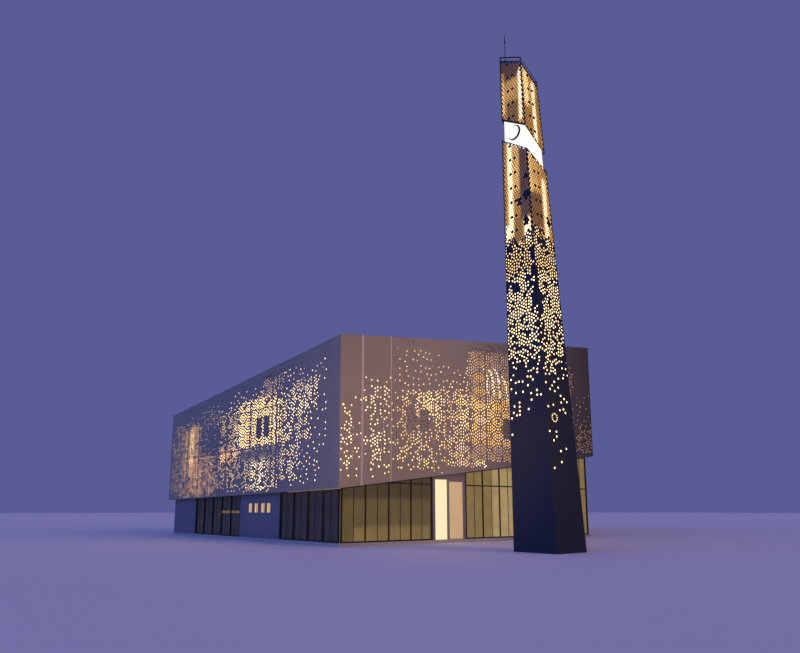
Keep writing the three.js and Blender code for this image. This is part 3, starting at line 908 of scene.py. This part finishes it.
def glazedStretch(name, side, u0, u1):
    face, low, foot = hallFaces[side], skinFoot(side), lambda u: ground["foot"]
    bays = round((u1 - u0) / ground["spacing"])
    spacing = (u1 - u0) / bays
    title = name[0].upper() + name[1:]
    barRow("bars" + title, face, ground["bar"], (u0 + spacing / 2, spacing, bays), foot, low,
           ground["behind"])
    lights = sideBlinds if side in lengthwise else frontBlinds
    litSheet("blinds" + title, face, steps(u0, u1, ground["cell"]),
             steps(ground["foot"], ground["highest"], ground["cell"]), foot, low, -ground["blind"],
             ground["blindThickness"], glowOn(side, lights), "blind")


for name, (side, start, end) in glazed.items():
    glazedStretch(name, side, *spanOn(side, start, end))

entrance = {
    "opening": (11.2 * m, 12.9 * m), "heights": (0.31 * m, 5.89 * m), "behind": 0.86 * m,
    "thickness": 0.02 * m, "panel": (12.98 * m, 14.7 * m), "panelHeights": (0.35 * m, 5.7 * m),
    "panelBehind": 0.585 * m, "panelThickness": 0.012 * m,
}
slotLight = {"span": (19.8 * m, 24.9 * m), "heights": (2.72 * m, 2.96 * m), "behind": 0.79 * m,
             "thickness": 0.004 * m}
smallWindows = {
    "starts": [12.95 * m, 14.16 * m, 15.6 * m, 16.9 * m], "width": 0.82 * m, "heights": (2.8 * m, 3.7 * m),
    "behind": 0.72 * m, "pane": 0.02 * m, "bar": 0.05 * m, "barBehind": 0.68 * m, "barDepth": 0.035 * m,
}
soffitStrip = {"span": (0.3 * m, 9.0 * m), "inward": (0.3 * m, 0.35 * m), "rise": 0.018 * m,
               "thickness": 0.02 * m}


def flatPanel(name, side, span, heights, behind, thickness, finish, slot="light"):
    shape = Shape()
    shape.plate(hallFaces[side], rectangle(*spanOn(side, *span), *heights), -behind, thickness)
    shape.add(name, finish, slot)


def entranceLights():
    flatPanel("entranceLight", "front", entrance["opening"], entrance["heights"], entrance["behind"],
              entrance["thickness"], "entryLight")
    flatPanel("entrancePanel", "front", entrance["panel"], entrance["panelHeights"], entrance["panelBehind"],
              entrance["panelThickness"], "warmPanel")
    flatPanel("slotLight", "left", slotLight["span"], slotLight["heights"], slotLight["behind"],
              slotLight["thickness"], "strip")


def smallPanes():
    half = smallWindows["bar"] / 2
    for number, start in enumerate(smallWindows["starts"]):
        flatPanel(f"smallPane{number + 1}", "left", (start, start + smallWindows["width"]),
                  smallWindows["heights"], smallWindows["behind"], smallWindows["pane"], "smallPane")
    for number, start in enumerate(smallWindows["starts"]):
        middle = start + smallWindows["width"] / 2
        flatPanel(f"smallPaneBar{number + 1}", "left", (middle - half, middle + half),
                  smallWindows["heights"], smallWindows["barBehind"], smallWindows["barDepth"], "steel",
                  "dark_frame")


# A light strip under the soffit of the left side, by the near corner
def soffitLight():
    low, drop = skinFoot("left"), Vector((0, 0, soffitStrip["thickness"]))
    corners = rectangle(*spanOn("left", *soffitStrip["span"]), *soffitStrip["inward"])
    near = [hallFaces["left"].at(u, low(u) + soffitStrip["rise"], -inward) for u, inward in corners]
    shape = Shape()
    shape.block(near, [place - drop for place in near])
    shape.add("soffitLight", "strip", "light")


entranceLights()
smallPanes()
soffitLight()


# Two pale strips on the front skin, their pale colour a painted highlight for bright streaks of light on the
# skin: middle and width
coverStrips = {"strips": [(2.33 * m, 0.22 * m), (5.5 * m, 0.1 * m)], "front": 0.012 * m, "back": 0.0002}


# The strips stand a little proud of the front skin, and their pale metal is a painted highlight.
def frontHighlightStrips():
    shape, front = Shape(), coverStrips["front"]
    for middle, width in coverStrips["strips"]:
        corners = between(middle - width / 2, middle + width / 2, skinFoot("front"), skinHead("front"))
        shape.plate(hallFaces["front"], corners, front, front - coverStrips["back"])
    shape.add("coverStrips", "paleMetal", "skin")


frontHighlightStrips()
print("ground storey and strips made")


# Materials of the solids that stay
def nodesLike(*starts):
    return [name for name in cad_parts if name.startswith(starts)]


dressed = {
    "concrete": ["ground_slab", "upper_floor", "gallery_floor", "minaret_base"],
    "roofing": ["roof_slab"],
    "plaster": nodesLike("upper_wall"),
    "stone": ["entrance_portal", "ground_wall_left", "ground_wall_left_end"],
    "steel": nodesLike("skin_frame", "soffit", "glazing_frame", "minaret_frame", "minaret_deck"),
    "black": ["minaret_top_rail", "mast"],
    "glass": nodesLike("glass"),
    "band": ["light_band"],
    "bronze": ["crescent"],
}
for finish, names in dressed.items():
    for name in names:
        worn = bpy.data.objects[name].data.materials
        worn.clear()
        worn.append(finishes[finish])


# The minaret
minaret = {
    "corner": Vector((-10.35, -32.07, 0)) * m,
    "depth": 3.945 * m, "depthTaper": 0.04315, "width": 3.426 * m, "widthTaper": 0.03898,
    "sheet": 0.02 * m, "holeSides": 6, "rim": 0.02 * m, "leastHole": 0.035 * m, "strayHole": 0.095 * m,
    "reach": (-4 * m, 4 * m), "holeSizes": (0.92, 1.0),
}
# The slanting cuts: the height over the left edge at the back, and the fall to the right and to the front
cuts = {
    "ground": (0.001 * m, 0.0, 0.0),
    "bandBottom": (33.02 * m, 0.57, 0.69),
    "bandTop": (34.8 * m, 0.798, 0.634),
    "top": (40.31 * m, 0.76, 0.5485),
}


def towerDepth(z):
    return minaret["depth"] - minaret["depthTaper"] * z


def towerWidth(z):
    return minaret["width"] - minaret["widthTaper"] * z


# The height of a slanting cut over one of the four edges: 0 or 1 to the right, 0 or 1 to the front.
def cutHeight(cut, right, front):
    z, fallRight, fallFront = cuts[cut]
    return ((z - fallRight * right * minaret["width"] - fallFront * front * minaret["depth"])
            / (1 - fallRight * right * minaret["widthTaper"] - fallFront * front * minaret["depthTaper"]))


cornerX, cornerY = minaret["corner"].x, minaret["corner"].y
# Each face with its two edges, and how far its left and right edges stand at a height.
towerFaces = {
    "left": (Face((cornerX, cornerY, 0), (0, -1)), (0, 0), (0, 1), lambda z: 0.0, towerDepth),
    "front": (Face((cornerX, cornerY - minaret["depth"], 0), (1, 0), (0, minaret["depthTaper"])),
              (0, 1), (1, 1), lambda z: 0.0, towerWidth),
    "right": (Face((cornerX + minaret["width"], cornerY, 0), (0, 1), (-minaret["widthTaper"], 0)),
              (1, 1), (1, 0), lambda z: -towerDepth(z), lambda z: 0.0),
    "back": (Face((cornerX, cornerY, 0), (-1, 0)), (1, 0), (0, 0), lambda z: -towerWidth(z), lambda z: 0.0),
}
towerRosette = {
    "spacing": 1.23 * m, "start": (1.04 * m, 29.68 * m), "span": (0, 26 * m), "middle": 0.1 * m,
    "rings": [(6, 0.27 * m, 0.08 * m, 1.0, 0.0), (12, 0.51 * m, 0.08 * m, 1.15, 0.5)],
    "between": 0.09 * m,
}
# The fine lattice of the upper part, with a solid bow tie through each rosette's middle
lattice = {
    "from": 24.1 * m, "waver": 1.5 * m, "span": (22 * m, 41 * m), "spacing": 1.23 * m / math.sqrt(27),
    "hole": 0.118 * m, "apart": 0.22 * m, "tieHeight": 0.1 * m, "tieReach": (0.1 * m, 0.36 * m),
    "middles": {"left": (1.04 * m, 29.68 * m), "front": (0.95 * m, 29.41 * m), "right": (-1.3 * m, 29.2 * m),
                "back": (-1.2 * m, 29.7 * m)},
}


def latticeHoles(side):
    spacing, rosettes = lattice["spacing"], towerRosette["spacing"]
    rise = spacing * math.sqrt(3) / 2
    startU, startZ = lattice["middles"][side]
    nearest, furthest = lattice["tieReach"]
    (u0, u1), (z0, z1) = minaret["reach"], lattice["span"]
    for row in range(math.floor((z0 - startZ) / rise), math.ceil((z1 - startZ) / rise) + 1):
        for column in range(math.floor((u0 - startU) / spacing), math.ceil((u1 - startU) / spacing) + 1):
            u, z = startU + (column + 0.5 * (row % 2)) * spacing, startZ + row * rise
            fromMiddle = abs((z - startZ + rosettes / 2) % rosettes - rosettes / 2)
            inTie = fromMiddle < lattice["tieHeight"] and nearest < abs(u - startU) < furthest
            if not inTie:
                yield u, z, lattice["hole"], math.pi / 6, 1.0


# Share of the holes that are cut, by height in real metres.
towerShares = [(0, 0.0), (12.95, 0.0), (13.0, 0.3), (14.2, 0.5), (14.8, 0.68), (16, 0.76), (18, 0.84),
               (20, 0.88), (23, 0.95), (24.5, 1.0), (60, 1.1)]
# Single holes below the pattern, in real metres: along, height
strays = {
    "front": [(0.5, 6.0), (1.35, 6.45), (1.35, 7.25), (2.0, 7.45), (0.65, 8.0), (0.25, 8.65), (1.0, 8.65),
              (1.0, 8.3), (0.29, 10.48), (1.6, 10.3), (2.03, 10.4), (2.23, 10.15), (0.88, 10.64),
              (1.83, 10.9), (2.49, 11.0), (2.2, 11.2), (1.81, 11.4), (0.65, 11.8), (1.17, 11.7),
              (1.59, 12.0), (0.92, 12.1), (0.22, 12.26), (1.18, 12.4), (1.7, 12.7), (2.27, 12.8),
              (0.26, 12.9), (0.69, 12.95)],
    "left": [(0.2, 8.65), (0.2, 9.9), (0.7, 10.08), (0.4, 10.3), (1.87, 10.43), (1.0, 10.09), (1.0, 10.38),
             (1.0, 10.7), (1.0, 11.02), (0.49, 10.78), (2.17, 11.1), (2.72, 11.4), (3.08, 11.37),
             (2.16, 11.59), (2.72, 11.75), (0.68, 11.8), (1.37, 11.8), (0.22, 12.16), (1.87, 12.23),
             (0.68, 12.58), (1.0, 12.62), (1.37, 12.58), (2.36, 12.6), (0.22, 12.88), (1.87, 12.9),
             (2.17, 12.85)],
}
petalRing = {"face": "front", "middle": (0.92 * m, 9.69 * m), "petals": 12, "reach": 0.29 * m,
             "size": 0.042 * m, "stretch": 1.9}
# Places with no holes, in real metres: along, height, half width, half height.
solidSpots = {
    "front": [(0.0, 20.0, 0.25, 1.6), (0.1, 18.3, 0.35, 1.2), (1.0, 20.05, 0.25, 0.3),
              (0.5, 23.4, 0.13, 0.36), (1.36, 23.4, 0.13, 0.4), (2.0, 25.4, 0.2, 0.4)],
    "left": [(2.36, 29.0, 0.2, 0.28), (2.36, 27.4, 0.26, 0.4), (1.65, 27.0, 0.2, 0.35),
             (2.26, 25.3, 0.24, 0.45), (0.5, 23.5, 0.25, 0.3), (2.8, 22.5, 0.26, 0.6),
             (2.86, 21.1, 0.26, 0.45), (1.0, 20.05, 0.42, 0.32), (2.9, 19.0, 0.32, 0.9),
             (0.1, 20.4, 0.15, 0.5)],
}


# Thicker and thinner patches of the pattern: how strong, and how close along and up the face
patches = {"depth": 0.5, "along": 1.3, "up": 0.8}


def shareAt(side, u, z):
    height, share = z / m, 0.0
    for (z0, share0), (z1, share1) in zip(towerShares, towerShares[1:]):
        if z0 <= height < z1:
            share = share0 + (share1 - share0) * (height - z0) / (z1 - z0)
    if share < 1:
        place = Vector((u / m * patches["along"], height * patches["up"], len(side)))
        share *= 1.0 + patches["depth"] * noise.noise(place)
    for along, middle, halfWide, halfHigh in solidSpots.get(side, []):
        if math.hypot((u / m - along) / halfWide, (height - middle) / halfHigh) < 1:
            share = 0.0
    return share


def towerOutline(side, lowCut, highCut, inset):
    face, edge0, edge1, leftEdge, rightEdge = towerFaces[side]
    outline = []
    for edge, edgeAt, sign, cut in ((edge0, leftEdge, 1, lowCut), (edge1, rightEdge, -1, lowCut),
                                    (edge1, rightEdge, -1, highCut), (edge0, leftEdge, 1, highCut)):
        z = cutHeight(cut, *edge)
        outline.append((edgeAt(z) + sign * inset, z))
    return outline


def strayHoles(side):
    for u, z in strays.get(side, []):
        yield u * m, z * m, minaret["strayHole"], 0.0, 1.0
    if petalRing["face"] == side:
        u, z = petalRing["middle"]
        for petal in range(petalRing["petals"]):
            angle = petal * math.tau / petalRing["petals"]
            yield (u + petalRing["reach"] * math.cos(angle), z + petalRing["reach"] * math.sin(angle),
                   petalRing["size"], angle, petalRing["stretch"])


def towerSkin(side, part, lowCut, highCut):
    face, edge0, edge1, leftEdge, rightEdge = towerFaces[side]
    inset = minaret["sheet"] + gap if side in lengthwise else 0.0
    outline = towerOutline(side, lowCut, highCut, inset)
    chance = random.Random(len(side) * 10 + len(part))
    (u0, z0), (u1, z1), (u2, z2), (u3, z3) = outline
    low = lambda u: z0 + (z1 - z0) * (u - u0) / (u1 - u0)
    high = lambda u: z3 + (z2 - z3) * (u - u3) / (u2 - u3)
    tilt = lambda rise: math.hypot(1, rise / (u1 - u0))
    border = lambda u: lattice["from"] + lattice["waver"] * noise.noise(Vector((u / m, len(side), 0)))
    fine = [hole for hole in latticeHoles(side) if hole[1] > border(hole[0])]
    loose = list(strayHoles(side))
    edge = [hole[:2] for hole in loose + fine if hole[1] < lattice["from"] + lattice["waver"]]
    coarse = [hole for hole in rosetteHoles(minaret["reach"], towerRosette["span"], towerRosette)
              if hole[1] < border(hole[0])
              and all(math.dist(hole[:2], place) > lattice["apart"] for place in edge)]
    pattern = [hole for hole in coarse + fine if chance.random() < shareAt(side, hole[0], hole[1])]
    holes = []
    for u, z, size, turn, stretch in pattern + loose:
        room = min(u - leftEdge(z) - inset, rightEdge(z) - inset - u, (z - low(u)) / tilt(z1 - z0),
                   (high(u) - z) / tilt(z3 - z2)) - minaret["rim"]
        size = min(size * chance.uniform(*minaret["holeSizes"]), room / stretch)
        if size > minaret["leastHole"]:
            holes.append((0, u, z, size, turn, stretch))
    # The minaret's skin takes the shaded copy of the skin metal, whose dark tones are painted shade.
    perforated(f"minaret{part}{side.title()}", face, [outline], holes, minaret["sheet"],
               "minaretY" if side in lengthwise else "minaretX", [f"minaret_{part.lower()}_{side}"],
               minaret["holeSides"])


for side in towerFaces:
    towerSkin(side, "Lower", "ground", "bandBottom")
    towerSkin(side, "Upper", "bandTop", "top")
print("minaret skins made")


# The lit sheets behind the minaret's skin, with the band between them
lantern = {
    "inset": 0.035 * m, "thickness": 0.01 * m, "columns": 22, "rowHeight": 0.3 * m, "soft": 0.12,
    "Lower": (("ground", 4.0 * m), ("bandBottom", -0.17 * m)),
    "Upper": (("bandTop", 0.17 * m), ("top", -0.2 * m)),
}
amber = (1.0, 0.52, 0.12)
lowerLights = [(-9, 9, 0, 23.6, cream, 0.7), (-9, 9, 0, 21.0, white, 0.5)]
# First and last along, foot, head, colour, how much is added.
towerLights = {
    "left": [(-9, 9, 0, 60, amber, 0.42), *lowerLights, (0.44, 1.0, 24.2, 33.2, cream, 0.75),
             (0.58, 0.88, 24.6, 33.2, white, 0.9), (1.0, 1.66, 28.0, 32.8, cream, 0.22),
             (1.72, 2.9, 25.6, 32.6, amber, -0.34), (0.9, 1.8, 23.6, 25.8, amber, -0.16),
             (0.16, 0.5, 23.4, 25.4, white, 1.2), (2.05, 2.65, 23.5, 25.4, white, 1.3),
             (1.9, 2.2, 34.0, 38.4, white, 1.2), (0.1, 0.4, 35.2, 38.2, cream, 0.4),
             (0.5, 1.8, 36.2, 38.0, cream, 0.08), (0.6, 1.75, 33.6, 35.9, amber, -0.24),
             (0.42, 1.85, 38.0, 41.0, amber, -0.34), (-9, 0.42, 39.0, 41.0, amber, -0.34),
             (1.85, 9, 38.4, 41.0, amber, -0.34)],
    "front": [(-9, 9, 0, 60, amber, 0.54), *lowerLights, (0.0, 0.46, 27.6, 33.0, cream, 0.4),
              (0.1, 1.4, 24.7, 27.6, amber, -0.38), (1.56, 1.98, 23.4, 29.0, white, 0.9),
              (0.3, 0.7, 22.8, 24.6, white, 0.9), (0.2, 0.76, 35.2, 38.4, cream, 0.6),
              (1.12, 1.5, 30.5, 37.6, white, 1.0), (1.6, 9, 29.4, 41.0, amber, -0.2),
              (0.0, 1.06, 32.6, 35.2, amber, -0.2), (0.5, 1.1, 28.0, 31.0, cream, 0.16)],
    "right": [(-9, 9, 0, 60, amber, 0.5), *lowerLights, (0.5, 0.75, 24.0, 31.0, cream, 1.4),
              (1.9, 2.1, 26.0, 31.5, cream, 1.2), (1.2, 1.4, 33.6, 36.6, cream, 1.4)],
    "back": [(-9, 9, 0, 60, amber, 0.5), *lowerLights, (0.6, 0.8, 22.0, 31.0, cream, 1.4),
             (1.8, 2.0, 24.0, 30.0, cream, 1.2), (1.1, 1.3, 34.6, 38.0, cream, 1.4)],
}


def lanternWall(side, part):
    face, edge0, edge1, leftEdge, rightEdge = towerFaces[side]
    work, inset, columns = bmesh.new(), lantern["inset"], lantern["columns"]
    (foot0, foot1), (head0, head1) = ([cutHeight(cut, *edge) + rise for edge in (edge0, edge1)]
                                      for cut, rise in lantern[part])
    rows = math.ceil((head0 - foot0) / lantern["rowHeight"])
    grid = []
    for row in range(rows + 1):
        line = []
        for column in range(columns + 1):
            share = column / columns
            foot, head = foot0 + (foot1 - foot0) * share, head0 + (head1 - head0) * share
            z = foot + (head - foot) * row / rows
            left, right = leftEdge(z) + inset, rightEdge(z) - inset
            line.append(work.verts.new((left + (right - left) * share, z * face.stretch, 0)))
        grid.append(line)
    for low, high in zip(grid, grid[1:]):
        for index in range(columns):
            work.faces.new((low[index], low[index + 1], high[index + 1], high[index]))
    work.normal_update()
    hangSheet("lantern" + part + side.title(), work, face, -inset, lantern["thickness"],
              lambda u, z: glowAt(u - leftEdge(z), z, towerLights[side], lantern["soft"]), "lantern",
              litBack=True)


for side in towerFaces:
    for part in ("Lower", "Upper"):
        lanternWall(side, part)
print("lantern made")


# Floor, light and camera
stage = {
    "floor": {"tones": (rgb(0.85, 0.84, 0.86), rgb(0.8, 0.79, 0.82)), "mottle": 0.05, "roughness": 0.85,
              "reach": 400.0},
    "sky": rgb(0.102, 0.109, 0.30), "skyStrength": 1.0,
    "suns": {
        "key": {"colour": (1.0, 0.62, 0.42), "strength": 0.7, "soft": 40, "turn": (66, 0, 14)},
        "fill": {"colour": (0.1, 0.24, 1.0), "strength": 1.5, "soft": 60, "turn": (78, 0, -90)},
    },
    "spot": {"colour": (1.0, 0.60, 0.34), "power": 8000.0, "at": (-16.0, -26.0, 3.0),
             "aim": (-4.5, -9.8, 5.5), "angle": 46, "radius": 1.5},
}


def makeFloor():
    kind = stage["floor"]
    reach = kind["reach"]
    mesh = meshOf("floor", [(u, v, 0) for u, v in rectangle(-reach, reach, -reach, reach)], [(0, 1, 2, 3)])
    floor = addObject("floor", mesh)
    look = Finish("paleFloor")
    look.set("Base Color", look.mix(look.noise(kind["mottle"]), *kind["tones"]))
    look.set("Roughness", kind["roughness"])
    mesh.materials.append(look.material)


def makeLight():
    world = bpy.data.worlds.new("dusk")
    bpy.context.scene.world = world
    world.use_nodes = True
    background = world.node_tree.nodes["Background"]
    background.inputs["Color"].default_value = stage["sky"]
    background.inputs["Strength"].default_value = stage["skyStrength"]
    bpy.context.scene.view_settings.view_transform = "Standard"
    for name, sun in stage["suns"].items():
        light = bpy.data.lights.new(name, "SUN")
        light.color, light.energy, light.angle = sun["colour"], sun["strength"], math.radians(sun["soft"])
        addObject(name, light).rotation_euler = [math.radians(turn) for turn in sun["turn"]]
    spot = stage["spot"]
    light = bpy.data.lights.new("near", "SPOT")
    light.color, light.energy, light.shadow_soft_size = spot["colour"], spot["power"], spot["radius"]
    light.spot_size, light.spot_blend = math.radians(spot["angle"]), 1.0
    holder = addObject("near", light)
    holder.location = spot["at"]
    holder.rotation_euler = (Vector(spot["aim"]) - Vector(spot["at"])).to_track_quat("-Z", "Y").to_euler()
    holder.visible_camera = False


cameraPlace = {
    "at": Vector((-48.69, -66.59, 3.0)) * m, "heading": math.radians(51.37), "pitch": math.radians(10.12),
    "lens": 30.23, "shift": 0.08, "sight": 1000.0,
}


def makeCamera():
    data = bpy.data.cameras.new("camera")
    data.lens, data.shift_y = cameraPlace["lens"], cameraPlace["shift"]
    data.clip_end = cameraPlace["sight"]
    holder = addObject("camera", data)
    heading, pitch = cameraPlace["heading"], cameraPlace["pitch"]
    view = Vector((math.cos(heading) * math.cos(pitch), math.sin(heading) * math.cos(pitch), math.sin(pitch)))
    holder.location = cameraPlace["at"]
    holder.rotation_euler = view.to_track_quat("-Z", "Y").to_euler()
    bpy.context.scene.camera = holder


makeFloor()
makeLight()
makeCamera()
print("stage set")
